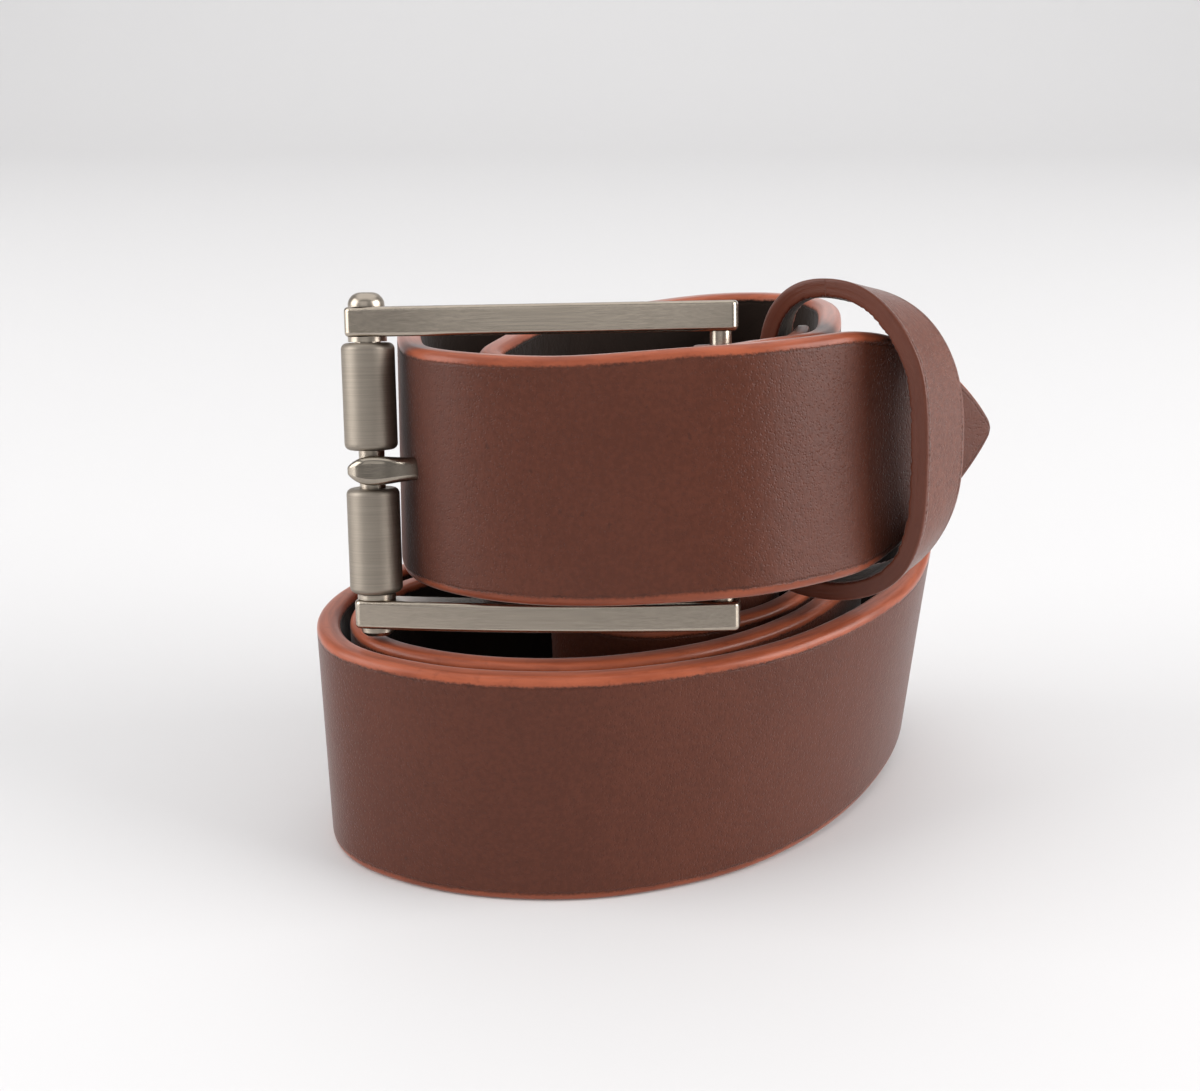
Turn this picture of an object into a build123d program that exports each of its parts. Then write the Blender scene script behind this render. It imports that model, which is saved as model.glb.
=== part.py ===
from build123d import *
import os
import math

os.makedirs("parts", exist_ok=True)

# ---------------------------------------------------------------- dimensions
# Leather belt, coiled in about five turns and fastened in its own buckle.
# Millimetres, +Z up, origin at the middle of the footprint on the table.

STRAP_WIDTH = 35.0          # width of the strap
FREE_END_WIDTH = 34.5       # a little narrower where it is pulled through the buckle
FOLD_WIDTH = 33.8           # trimmed a little where it folds round the heel bar
FOLD_REACH = 50.0           # the trimmed length
TIP_LENGTH = 30.0           # length over which the tip tapers to its point
TIP_END_WIDTH = 0.9         # width left at the point
STATION_STEP = 2.5          # spacing of the loft sections along the strap
HOLE_RADIUS = 2.80          # punched prong holes
HOLE_PITCH = 25.4           # distance between prong holes
HOLE_COUNT = 5
SLOT_WIDTH = 5.6            # slot in the fold that lets the prong through

# Centre line of the strap from the end of the folded return layer, round the
# heel bar, through the coil and out to the tip: x, y, height of the middle of
# the strap, the lean of its width (dx, dy per unit of height), thickness.
PATH = [
    (22.38, -9.78, 61.32, -0.0414, 0.0064, 2.00),
    (21.98, -12.38, 61.32, -0.0533, 0.0098, 2.10),
    (21.34, -15.48, 61.32, -0.0649, 0.0261, 2.20),
    (18.68, -20.58, 61.22, -0.0807, 0.0727, 2.20),
    (14.59, -22.98, 61.12, -0.0644, 0.1368, 2.20),
    (11.88, -23.78, 61.02, -0.0184, 0.1753, 2.20),
    (9.34, -24.19, 60.99, -0.0184, 0.1753, 2.20),
    (7.88, -24.40, 61.00, -0.0184, 0.1753, 2.20),
    (6.71, -25.29, 61.13, -0.0184, 0.1753, 2.20),
    (6.15, -26.64, 61.36, -0.0184, 0.1753, 2.20),
    (6.35, -28.08, 61.61, -0.0184, 0.1753, 2.20),
    (7.26, -29.22, 61.83, -0.0184, 0.1753, 2.20),
    (8.63, -29.77, 61.95, -0.0184, 0.1753, 2.20),
    (12.29, -28.78, 62.12, -0.0184, 0.1753, 2.60),
    (16.48, -25.98, 62.22, -0.0789, 0.1163, 3.10),
    (21.29, -22.68, 62.22, -0.0799, 0.0683, 3.50),
    (24.44, -16.68, 61.72, -0.0662, 0.0224, 3.50),
    (26.19, -8.18, 61.22, -0.0345, 0.0056, 3.50),
    (27.59, 2.62, 60.62, -0.0174, 0.0016, 3.50),
    (28.19, 13.22, 60.02, -0.0000, -0.0000, 3.50),
    (25.78, 23.22, 59.52, -0.0000, -0.0000, 3.50),
    (17.48, 29.52, 58.92, -0.0000, -0.0000, 3.50),
    (6.98, 28.82, 58.32, 0.0000, -0.0000, 3.50),
    (-2.52, 23.02, 58.02, 0.0000, -0.0000, 3.50),
    (-12.52, 14.22, 57.92, 0.0000, -0.0000, 3.50),
    (-19.02, 4.22, 57.82, 0.0000, -0.0000, 3.50),
    (-22.82, -6.28, 57.62, 0.0000, -0.0000, 3.50),
    (-23.62, -12.98, 57.32, 0.0000, 0.0000, 3.50),
    (-19.02, -16.08, 56.92, 0.0000, 0.0000, 3.50),
    (-10.02, -15.78, 55.82, -0.0000, 0.0000, 3.50),
    (-1.02, -14.38, 54.02, -0.0000, 0.0000, 3.50),
    (6.48, -10.58, 51.62, -0.0000, 0.0000, 3.50),
    (12.68, -4.78, 48.82, -0.0000, 0.0000, 3.50),
    (17.09, 2.42, 45.62, -0.0000, 0.0000, 3.50),
    (18.98, 10.22, 42.02, -0.0000, -0.0000, 3.50),
    (15.79, 17.22, 38.42, -0.0000, -0.0000, 3.50),
    (8.98, 20.02, 34.82, 0.0000, -0.0000, 3.50),
    (0.58, 16.82, 31.02, 0.0000, -0.0000, 3.50),
    (-6.82, 10.02, 27.42, 0.0000, -0.0000, 3.50),
    (-11.62, 1.72, 24.02, 0.0000, -0.0000, 3.50),
    (-13.62, -6.78, 20.42, 0.0000, -0.0000, 3.50),
    (-12.02, -14.18, 18.32, 0.0000, 0.0000, 3.50),
    (-6.02, -18.58, 17.44, 0.0000, 0.0000, 3.50),
    (0.98, -19.18, 17.37, -0.0000, 0.0000, 3.50),
    (8.79, -16.78, 17.37, -0.0000, 0.0000, 3.50),
    (16.59, -11.78, 17.37, -0.0000, 0.0000, 3.50),
    (22.79, -4.18, 17.37, -0.0000, 0.0000, 3.50),
    (26.78, 4.82, 17.37, -0.0000, 0.0000, 3.50),
    (28.19, 14.22, 17.37, -0.0000, -0.0000, 3.50),
    (24.59, 22.22, 17.37, -0.0000, -0.0000, 3.50),
    (15.98, 26.02, 17.37, -0.0000, -0.0000, 3.50),
    (4.98, 25.42, 17.37, 0.0000, -0.0000, 3.50),
    (-6.52, 21.82, 17.37, 0.0000, -0.0000, 3.50),
    (-17.52, 16.42, 17.37, 0.0000, -0.0000, 3.50),
    (-28.52, 9.42, 17.37, 0.0000, -0.0000, 3.50),
    (-38.41, 0.82, 17.37, 0.0000, -0.0000, 3.50),
    (-43.72, -8.98, 17.37, 0.0000, -0.0000, 3.50),
    (-43.52, -18.18, 17.37, 0.0000, 0.0000, 3.50),
    (-40.22, -24.38, 17.37, 0.0000, 0.0000, 3.50),
    (-34.31, -28.88, 17.37, 0.0000, 0.0000, 3.50),
    (-27.32, -31.78, 17.37, 0.0000, 0.0000, 3.50),
    (-18.62, -33.28, 17.37, 0.0000, 0.0000, 3.50),
    (-8.92, -32.78, 17.37, -0.0000, 0.0000, 3.50),
    (-0.02, -30.28, 17.37, -0.0000, 0.0000, 3.50),
    (8.18, -26.38, 17.37, -0.0000, 0.0000, 3.50),
    (16.38, -20.18, 17.37, -0.0000, 0.0000, 3.50),
    (23.98, -11.58, 17.37, -0.0000, 0.0000, 3.50),
    (29.88, -0.98, 17.37, -0.0000, 0.0000, 3.50),
    (33.88, 10.82, 17.37, -0.0000, 0.0000, 3.50),
    (33.38, 21.62, 17.37, -0.0000, -0.0000, 3.50),
    (26.19, 29.02, 17.37, -0.0000, -0.0000, 3.50),
    (14.79, 31.22, 17.37, -0.0000, -0.0000, 3.50),
    (1.98, 29.82, 17.37, 0.0000, -0.0000, 3.50),
    (-11.02, 26.02, 17.37, 0.0000, -0.0000, 3.50),
    (-23.52, 20.62, 17.37, 0.0000, -0.0000, 3.50),
    (-35.02, 13.22, 17.37, 0.0000, -0.0000, 3.50),
    (-43.81, 3.22, 17.37, -0.0104, 0.0064, 3.50),
    (-48.31, -8.38, 17.37, -0.0240, 0.0045, 3.50),
    (-48.02, -19.28, 17.37, -0.0238, -0.0054, 3.50),
    (-44.02, -27.48, 17.37, -0.0189, -0.0155, 3.50),
    (-36.81, -32.98, 17.37, -0.0105, -0.0181, 3.50),
    (-28.62, -36.38, 17.37, -0.0047, -0.0168, 3.50),
    (-19.02, -37.98, 17.37, -0.0008, -0.0139, 3.50),
    (-8.02, -37.58, 17.37, 0.0020, -0.0138, 3.50),
    (1.48, -35.08, 17.42, 0.0068, -0.0198, 3.50),
    (10.79, -31.08, 17.52, 0.0170, -0.0305, 3.50),
    (20.38, -24.58, 17.82, 0.0392, -0.0470, 3.50),
    (29.38, -15.58, 18.42, 0.0674, -0.0558, 3.50),
    (37.59, -3.78, 19.42, 0.0997, -0.0551, 3.50),
    (42.98, 9.02, 21.22, 0.0929, -0.0253, 3.50),
    (44.38, 21.22, 24.82, 0.0696, 0.0068, 3.50),
    (40.78, 31.62, 29.62, 0.0262, 0.0231, 3.50),
    (30.59, 36.92, 34.92, -0.0000, -0.0000, 3.50),
    (16.98, 37.62, 40.42, 0.0000, -0.0000, 3.50),
    (3.98, 36.22, 45.62, 0.0000, -0.0000, 3.50),
    (-8.52, 32.92, 50.02, 0.0000, -0.0000, 3.50),
    (-20.91, 27.72, 53.92, 0.0000, -0.0000, 3.50),
    (-31.62, 20.02, 56.62, 0.0000, -0.0000, 3.50),
    (-36.62, 9.02, 58.22, 0.0000, -0.0000, 3.50),
    (-37.12, -1.58, 59.12, 0.0087, 0.0002, 3.50),
    (-36.16, -10.48, 59.52, 0.0172, 0.0028, 3.50),
    (-34.41, -18.48, 59.72, 0.0244, 0.0094, 3.50),
    (-30.71, -24.58, 60.12, 0.0249, 0.0245, 3.50),
    (-23.62, -29.48, 60.42, 0.0290, 0.0636, 3.50),
    (-14.02, -32.18, 60.62, 0.0225, 0.1027, 3.50),
    (-4.02, -33.78, 61.42, 0.0147, 0.1398, 3.50),
    (4.98, -34.18, 62.22, -0.0063, 0.1672, 3.50),
    (11.98, -33.18, 62.52, -0.0448, 0.1519, 3.50),
    (18.88, -30.08, 62.62, -0.0663, 0.1137, 3.50),
    (26.73, -24.58, 62.52, -0.0653, 0.0823, 3.50),
    (34.38, -17.78, 62.42, -0.0382, 0.0478, 3.50),
    (42.23, -12.18, 62.32, -0.0244, 0.0362, 3.50),
    (49.94, -7.28, 62.32, -0.0187, 0.0295, 3.50),
]
FOLD_INDEX = 6              # first of the seven points that wrap the heel bar

# Buckle: its own plane, x along the arms, y up, z towards the wearer's front.
BAR_CENTRE = (8.985, -26.978, 61.470)
BUCKLE_X = (0.992052, -0.119546, 0.039254)
BUCKLE_Z = (-0.124508, -0.977705, 0.169090)
FRAME_HEIGHT = 46.0         # over both arms
ARM_HEIGHT = 4.2
ARM_DEPTH = 5.2
ARM_SET_BACK = 0.35         # the arms sit this much behind the bar and axle
ARM_BOW = 2.8               # sagitta of the arms
AXLE_OFFSET = -50.1         # roller axle from the heel bar, along the arms
ARM_OVER_AXLE = 2.9         # arm end beyond the axle
ARM_OVER_BAR = 2.4          # arm end beyond the heel bar
BAR_RADIUS = 1.55
AXLE_RADIUS = 1.85
AXLE_CLEARANCE = 0.05
DOME_RADIUS = 2.6
DOME_HEIGHT = 2.0
RIVET_RADIUS = 2.35
RIVET_HEIGHT = 1.2
WASHER_RADIUS = 2.75
WASHER_THICKNESS = 0.7
ROLLER_RADIUS = 3.8
ROLLER_LENGTH = 15.2
SIDE_PLAY = 0.15            # free play between washers and rollers
EYE_OUTER = 3.0             # outer radius of the prong's eye
EYE_CLEARANCE = 0.06

# Keeper: a loose leather ring round both strap ends. The outlines are the
# ring's inside at its near and far rims: distance across the ring's axis and
# height above the table.
KEEPER_CENTRE = (26.385, -20.878, 0.0)
KEEPER_ANGLE = 55.0         # direction of the ring's axis in plan
KEEPER_WIDTH = 10.5
KEEPER_THICKNESS = 2.6
KEEPER_NEAR = [
    (-3.3, 83.9), (1.1, 83.4), (5.8, 80.0), (9.2, 74.6), (10.5, 67.5), (10.9, 59.5),
    (10.5, 51.9), (7.9, 45.9), (2.6, 42.6), (-3.2, 41.6), (-8.4, 42.4), (-11.1, 46.5),
    (-11.6, 54.0), (-11.8, 62.0), (-11.7, 70.0), (-11.3, 75.6), (-10.2, 79.8), (-7.4, 82.8),
]
KEEPER_FAR = [
    (-5.2, 81.6), (-0.3, 81.2), (5.0, 79.3), (9.0, 75.1), (11.1, 69.6), (11.8, 62.5),
    (11.6, 56.4), (8.9, 48.9), (3.8, 43.5), (-2.6, 41.5), (-9.4, 41.6), (-13.4, 45.5),
    (-14.0, 53.5), (-14.0, 61.5), (-14.1, 69.5), (-14.0, 75.5), (-13.2, 79.6), (-9.9, 81.7),
]
STAPLE_HEIGHT = 61.0        # middle of the keeper's staple above the table

PRONG_HOLE_POINT = (-32.780, -21.830, 59.88)   # where the prong comes through the strap
STUD_RADIUS = 1.6
STUD_HEAD_RADIUS = 2.9
STUD_HEAD = 0.7
STUD_SPREAD = 9.0
STUD_POINT = (24.985, -12.958, 61.5)         # where the studs cross the outer layer


# ---------------------------------------------------------------- strap path
def natural_spline(knots, values):
    """Natural cubic spline through the values at the knots."""
    n = len(knots)
    h = [knots[i + 1] - knots[i] for i in range(n - 1)]
    upper = [0.0] * n
    rhs = [0.0] * n
    for i in range(1, n - 1):
        slope = (values[i + 1] - values[i]) / h[i] - (values[i] - values[i - 1]) / h[i - 1]
        pivot = 2.0 * (h[i - 1] + h[i]) - h[i - 1] * upper[i - 1]
        upper[i] = h[i] / pivot
        rhs[i] = (6.0 * slope - h[i - 1] * rhs[i - 1]) / pivot
    second = [0.0] * n
    for i in range(n - 2, 0, -1):
        second[i] = rhs[i] - upper[i] * second[i + 1]

    def value(t):
        j = 0
        while j < n - 2 and t > knots[j + 1]:
            j += 1
        u = t - knots[j]
        v = h[j] - u
        return (
            second[j] * v**3 / (6 * h[j])
            + second[j + 1] * u**3 / (6 * h[j])
            + (values[j] / h[j] - second[j] * h[j] / 6) * v
            + (values[j + 1] / h[j] - second[j + 1] * h[j] / 6) * u
        )

    return value


knots = [0.0]
for a, b in zip(PATH, PATH[1:]):
    knots.append(knots[-1] + math.dist(a[:3], b[:3]))
curves = [natural_spline(knots, [p[k] for p in PATH]) for k in range(6)]
fine = [knots[-1] * i / 4000 for i in range(4001)]
fine_points = [tuple(c(t) for c in curves[:3]) for t in fine]
travelled = [0.0]
for a, b in zip(fine_points, fine_points[1:]):
    travelled.append(travelled[-1] + math.dist(a, b))
STRAP_LENGTH = travelled[-1]


def knot_at(length):
    """Spline parameter at a distance along the strap."""
    low, high = 0, len(travelled) - 1
    while high - low > 1:
        mid = (low + high) // 2
        if travelled[mid] <= length:
            low = mid
        else:
            high = mid
    span = travelled[high] - travelled[low]
    return fine[low] + (fine[high] - fine[low]) * (length - travelled[low]) / span


def strap_plane(length):
    """Plane across the strap: x through its thickness (outwards), y across its width."""
    t = knot_at(length)
    e = 0.05
    here = Vector(*[c(t) for c in curves[:3]])
    ahead = Vector(*[c(min(knots[-1], t + e)) for c in curves[:3]])
    behind = Vector(*[c(max(0.0, t - e)) for c in curves[:3]])
    tangent = (ahead - behind).normalized()
    lean = Vector(curves[3](t), curves[4](t), 1.0)
    width = (lean - tangent * lean.dot(tangent)).normalized()
    outward = tangent.cross(width)
    return Plane(origin=here, x_dir=outward, z_dir=tangent)


def strap_thickness(length):
    return curves[5](knot_at(length))


def strap_width(length):
    """Full width, narrowing along a rounded point at the tip."""
    left = STRAP_LENGTH - length
    if left >= TIP_LENGTH:
        blend = min(1.0, max(0.0, (left - 130.0) / 60.0))
        trimmed = min(1.0, max(0.0, 1.0 - (length - FOLD_REACH) / 60.0))
        return FREE_END_WIDTH + (STRAP_WIDTH - FREE_END_WIDTH) * blend - (STRAP_WIDTH - FOLD_WIDTH) * trimmed
    u = left / TIP_LENGTH
    return TIP_END_WIDTH + (FREE_END_WIDTH - TIP_END_WIDTH) * math.sin(u**0.8 * math.pi / 2)


def length_near(point, low=0.0, high=None):
    """Distance along the strap of the centre-line point nearest to a place in plan."""
    high = STRAP_LENGTH if high is None else high
    best = min(
        (i for i in range(4001) if low <= travelled[i] <= high),
        key=lambda i: math.dist(fine_points[i], point),
    )
    return travelled[best]


fold_start = travelled[min(range(4001), key=lambda i: abs(fine[i] - knots[FOLD_INDEX - 1]))]
fold_end = travelled[min(range(4001), key=lambda i: abs(fine[i] - knots[FOLD_INDEX + 7]))]
stations = []
s = 0.0
while s < STRAP_LENGTH - TIP_LENGTH - 1.0:
    stations.append(s)
    s += 0.8 if fold_start < s < fold_end else STATION_STEP
s = STRAP_LENGTH - TIP_LENGTH
for k in range(15):
    stations.append(s + TIP_LENGTH * (1 - (1 - k / 14) ** 1.6))

with BuildPart() as strap:
    for s in stations:
        plane = strap_plane(s)
        with BuildSketch(plane):
            Rectangle(strap_thickness(s), strap_width(s))
    loft(ruled=True)
    # the lower turns stand flat on their edges
    split(bisect_by=Plane.XY, keep=Keep.TOP)
    # punched prong holes; the prong sits in the one nearest the tip
    prong_hole = length_near(PRONG_HOLE_POINT, STRAP_LENGTH - 150)
    for i in range(HOLE_COUNT):
        at = strap_plane(prong_hole - i * HOLE_PITCH)
        with BuildSketch(Plane(origin=at.origin - at.x_dir * 4, x_dir=at.y_dir, z_dir=at.x_dir)):
            Circle(HOLE_RADIUS)
        extrude(amount=8, mode=Mode.SUBTRACT)
    # slot across the fold, and the holes for the fold's two studs
    bar_plane = Plane(origin=BAR_CENTRE, x_dir=BUCKLE_X, z_dir=BUCKLE_Z)
    with BuildSketch(bar_plane.offset(4.3)):
        SlotCenterToCenter(8.0, SLOT_WIDTH)
    extrude(amount=-10.5, mode=Mode.SUBTRACT)
    stud_plane = strap_plane(length_near(STUD_POINT, fold_end, fold_end + 60))
    layer = fine_points[travelled.index(length_near(tuple(stud_plane.origin - stud_plane.x_dir * 3.3), 0.0, fold_start))]
    gap = (stud_plane.origin - Vector(*layer)).dot(stud_plane.x_dir)
    stud_inner = -gap - 2.05 / 2          # inner face of the return layer
    stud_outer = 3.5 / 2                  # grain face of the outer layer
    stud_axes = [
        Plane(origin=stud_plane.origin + stud_plane.y_dir * dy, x_dir=stud_plane.y_dir, z_dir=stud_plane.x_dir)
        for dy in (-STUD_SPREAD, STUD_SPREAD)
    ]
    for plane in stud_axes:
        with BuildSketch(plane.offset(stud_inner - 1.5)):
            Circle(STUD_RADIUS + 0.03)
        extrude(amount=stud_outer - stud_inner + 3.0, mode=Mode.SUBTRACT)
strap.part.label = "strap"
print("strap length", round(STRAP_LENGTH, 1), "valid", strap.part.is_valid, "volume", round(strap.part.volume), "expected about", round(STRAP_LENGTH * STRAP_WIDTH * 3.5))
export_step(strap.part, "parts/strap.step")

# ---------------------------------------------------------------- buckle
buckle = Plane(origin=BAR_CENTRE, x_dir=BUCKLE_X, z_dir=BUCKLE_Z)


def across(y):
    """Plane square to the axle at a height along it: x along the arms, y to the back."""
    return Plane(origin=buckle.origin + buckle.y_dir * y, x_dir=buckle.x_dir, z_dir=buckle.y_dir)


left_end = AXLE_OFFSET - ARM_OVER_AXLE
middle = (left_end + ARM_OVER_BAR) / 2
inner = FRAME_HEIGHT / 2 - ARM_HEIGHT
arm_front = ARM_SET_BACK - ARM_DEPTH / 2
arm_back = ARM_SET_BACK + ARM_DEPTH / 2

with BuildPart() as buckle_frame:
    for low in (-FRAME_HEIGHT / 2, inner):
        with BuildSketch(across(low)) as arm:
            with BuildLine():
                ThreePointArc((left_end, arm_front), (middle, arm_front - ARM_BOW), (ARM_OVER_BAR, arm_front))
                Line((ARM_OVER_BAR, arm_front), (ARM_OVER_BAR, arm_back))
                ThreePointArc((ARM_OVER_BAR, arm_back), (middle, arm_back - ARM_BOW), (left_end, arm_back))
                Line((left_end, arm_back), (left_end, arm_front))
            make_face()
            fillet(arm.vertices().group_by(Axis.X)[0], radius=1.2)
            fillet(arm.vertices().group_by(Axis.X)[-1], radius=0.9)
            with Locations((AXLE_OFFSET, 0)):
                Circle(AXLE_RADIUS + 0.02, mode=Mode.SUBTRACT)
        extrude(amount=ARM_HEIGHT)
    flats = buckle_frame.faces().filter_by(Axis(BAR_CENTRE, tuple(buckle.y_dir)))
    fillet([e for f in flats for e in f.outer_wire().edges()], radius=0.6)
    # heel bar between the arms
    with BuildSketch(across(-inner - 1.7)):
        Circle(BAR_RADIUS)
    extrude(amount=2 * inner + 3.4)
buckle_frame.part.label = "buckle_frame"
export_step(buckle_frame.part, "parts/buckle_frame.step")

half = FRAME_HEIGHT / 2
with BuildPart() as axle_pin:
    with BuildSketch(across(-half - RIVET_HEIGHT)):
        with Locations((AXLE_OFFSET, 0)):
            Circle(AXLE_RADIUS)
    extrude(amount=FRAME_HEIGHT + RIVET_HEIGHT + 0.5)
    with BuildSketch(across(half + 0.02)):
        with Locations((AXLE_OFFSET, 0)):
            Circle(DOME_RADIUS)
    extrude(amount=DOME_HEIGHT)
    with BuildSketch(across(-half - RIVET_HEIGHT)):
        with Locations((AXLE_OFFSET, 0)):
            Circle(RIVET_RADIUS)
    extrude(amount=RIVET_HEIGHT - 0.02)
    ends = axle_pin.edges().filter_by(GeomType.CIRCLE).sort_by(Axis(BAR_CENTRE, tuple(buckle.y_dir)))
    fillet(ends[-1], radius=1.8)
    chamfer(ends[0], length=0.55)
axle_pin.part.label = "axle_pin"
export_step(axle_pin.part, "parts/axle_pin.step")

for name, low in (("spacer_washer_upper", inner - WASHER_THICKNESS), ("spacer_washer_lower", -inner)):
    with BuildPart() as spacer_washer:
        with BuildSketch(across(low)):
            with Locations((AXLE_OFFSET, 0)):
                Circle(WASHER_RADIUS)
                Circle(AXLE_RADIUS + 0.02, mode=Mode.SUBTRACT)
        extrude(amount=WASHER_THICKNESS)
    spacer_washer.part.label = name
    export_step(spacer_washer.part, "parts/" + name + ".step")

roller_top = inner - WASHER_THICKNESS - SIDE_PLAY
for name, low in (("roller_upper", roller_top - ROLLER_LENGTH), ("roller_lower", -roller_top)):
    with BuildPart() as roller:
        with BuildSketch(across(low)):
            with Locations((AXLE_OFFSET, 0)):
                Circle(ROLLER_RADIUS)
                Circle(AXLE_RADIUS + AXLE_CLEARANCE, mode=Mode.SUBTRACT)
        extrude(amount=ROLLER_LENGTH)
        fillet([e for e in roller.edges().filter_by(GeomType.CIRCLE) if e.radius > ROLLER_RADIUS - 0.1], radius=0.9)
    roller.part.label = name
    export_step(roller.part, "parts/" + name + ".step")

# Prong: an eye round the heel bar, a bowed shank through the strap's hole and
# a teardrop bulb resting in front of the axle, between the rollers.
# Stations: x along the arms, z to the front, width, thickness.
PRONG = [
    (-1.9, 0.0, 3.1, 2.2),
    (-6.0, -0.4, 3.1, 2.3),
    (-14.0, -1.0, 3.47, 2.4),
    (-24.0, -1.5, 3.47, 2.4),
    (-32.0, -1.7, 3.47, 2.4),
    (-37.0, -1.6, 3.47, 2.3),
    (-40.5, -0.9, 3.36, 2.1),
    (-43.2, 0.3, 3.27, 2.1),
    (-45.4, 1.7, 3.49, 2.3),
    (-47.2, 2.8, 3.92, 2.4),
    (-48.9, 3.25, 4.2, 2.4),
    (-50.5, 3.3, 3.82, 2.3),
    (-51.8, 3.15, 2.73, 1.8),
    (-52.7, 2.95, 1.31, 0.9),
]
with BuildPart() as prong:
    for i, (x, z, wide, thick) in enumerate(PRONG):
        a = PRONG[max(0, i - 1)]
        b = PRONG[min(len(PRONG) - 1, i + 1)]
        direction = buckle.x_dir * (b[0] - a[0]) + buckle.z_dir * (b[1] - a[1])
        with BuildSketch(Plane(origin=buckle.origin + buckle.x_dir * x + buckle.z_dir * z, x_dir=buckle.y_dir, z_dir=direction)):
            RectangleRounded(wide, thick, min(wide, thick) * 0.42)
    loft()
    with BuildSketch(across(-PRONG[0][2] / 2)):
        Circle(EYE_OUTER)
    extrude(amount=PRONG[0][2])
    with BuildSketch(across(-PRONG[0][2] / 2 - 1)):
        Circle(BAR_RADIUS + EYE_CLEARANCE)
    extrude(amount=PRONG[0][2] + 2, mode=Mode.SUBTRACT)
prong.part.label = "prong"
export_step(prong.part, "parts/prong.step")

# ---------------------------------------------------------------- keeper
axis_dir = Vector(math.cos(math.radians(KEEPER_ANGLE)), math.sin(math.radians(KEEPER_ANGLE)), 0)
near = Plane(origin=KEEPER_CENTRE, x_dir=(axis_dir.Y, -axis_dir.X, 0), z_dir=-axis_dir)
far = Plane(origin=near.origin + axis_dir * KEEPER_WIDTH, x_dir=near.x_dir, z_dir=-axis_dir)


def grown(outline, amount):
    """The outline moved outwards by an amount."""
    out = []
    for i, (x, y) in enumerate(outline):
        (ax, ay), (bx, by) = outline[i - 1], outline[(i + 1) % len(outline)]
        length = math.hypot(bx - ax, by - ay)
        out.append((x - (by - ay) / length * amount, y + (bx - ax) / length * amount))
    return out


with BuildPart() as keeper_loop:
    for plane, outline in ((near, KEEPER_NEAR), (far, KEEPER_FAR)):
        with BuildSketch(plane):
            with BuildLine():
                Spline(*grown(outline, KEEPER_THICKNESS), periodic=True)
            make_face()
    loft()
    for plane, outline in ((near, KEEPER_NEAR), (far, KEEPER_FAR)):
        with BuildSketch(plane):
            with BuildLine():
                Spline(*outline, periodic=True)
            make_face()
    loft(mode=Mode.SUBTRACT)
    # two holes that the staple's legs pass through, at the ring's hidden back
    depth_dir = near.x_dir
    wall = (KEEPER_NEAR[13][0] + KEEPER_FAR[13][0]) / 2 - KEEPER_THICKNESS
    back = near.origin + axis_dir * (KEEPER_WIDTH / 2) + depth_dir * wall + Vector(0, 0, STAPLE_HEIGHT)
    for dz in (-3.5, 3.5):
        with BuildSketch(Plane(origin=back + Vector(0, 0, dz) - depth_dir * 2, x_dir=(0, 0, 1), z_dir=depth_dir)):
            Circle(0.42)
        extrude(amount=8, mode=Mode.SUBTRACT)
keeper_loop.part.label = "keeper_loop"
export_step(keeper_loop.part, "parts/keeper_loop.step")

with BuildPart() as keeper_staple:
    with BuildLine() as wire:
        FilletPolyline(
            back + Vector(0, 0, -3.5) + depth_dir * 3.1,
            back + Vector(0, 0, -3.5) - depth_dir * 0.75,
            back + Vector(0, 0, 3.5) - depth_dir * 0.75,
            back + Vector(0, 0, 3.5) + depth_dir * 3.1,
            radius=0.6,
        )
    with BuildSketch(Plane(origin=wire.line @ 0, z_dir=wire.line % 0)):
        Circle(0.4)
    sweep()
keeper_staple.part.label = "keeper_staple"
export_step(keeper_staple.part, "parts/keeper_staple.step")
# ---------------------------------------------------------------- fold studs
with BuildPart() as fold_stud_posts:
    for plane in stud_axes:
        with BuildSketch(plane.offset(stud_inner - STUD_HEAD - 0.2)):
            Circle(STUD_HEAD_RADIUS)
        extrude(amount=STUD_HEAD)
        with BuildSketch(plane.offset(stud_inner - 0.2)):
            Circle(STUD_RADIUS)
        extrude(amount=stud_outer - stud_inner + 0.35)
        with BuildSketch(plane.offset(stud_inner + 1.0)):
            Circle(0.9)
        extrude(amount=stud_outer - stud_inner + 1.2, mode=Mode.SUBTRACT)
fold_stud_posts.part.label = "fold_stud_posts"
export_step(fold_stud_posts.part, "parts/fold_stud_posts.step")

with BuildPart() as fold_stud_caps:
    for plane in stud_axes:
        with BuildSketch(plane.offset(stud_outer + 0.2)):
            Circle(STUD_HEAD_RADIUS)
        extrude(amount=STUD_HEAD)
        with BuildSketch(plane.offset(stud_inner + 1.3)):
            Circle(0.86)
        extrude(amount=stud_outer - stud_inner - 1.3 + 0.25)
    fillet([e for e in fold_stud_caps.edges().filter_by(GeomType.CIRCLE) if e.radius > STUD_HEAD_RADIUS - 0.01 and any(((e.arc_center - q.origin).dot(q.z_dir)) > stud_outer + STUD_HEAD * 0.9 for q in stud_axes)], radius=0.3)
fold_stud_caps.part.label = "fold_stud_caps"
export_step(fold_stud_caps.part, "parts/fold_stud_caps.step")

for p in (fold_stud_posts, fold_stud_caps, strap, buckle_frame, axle_pin, prong, keeper_loop, keeper_staple):
    print(p.part.label, p.part.is_valid, round(p.part.volume, 1), len(p.part.solids()))
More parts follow.
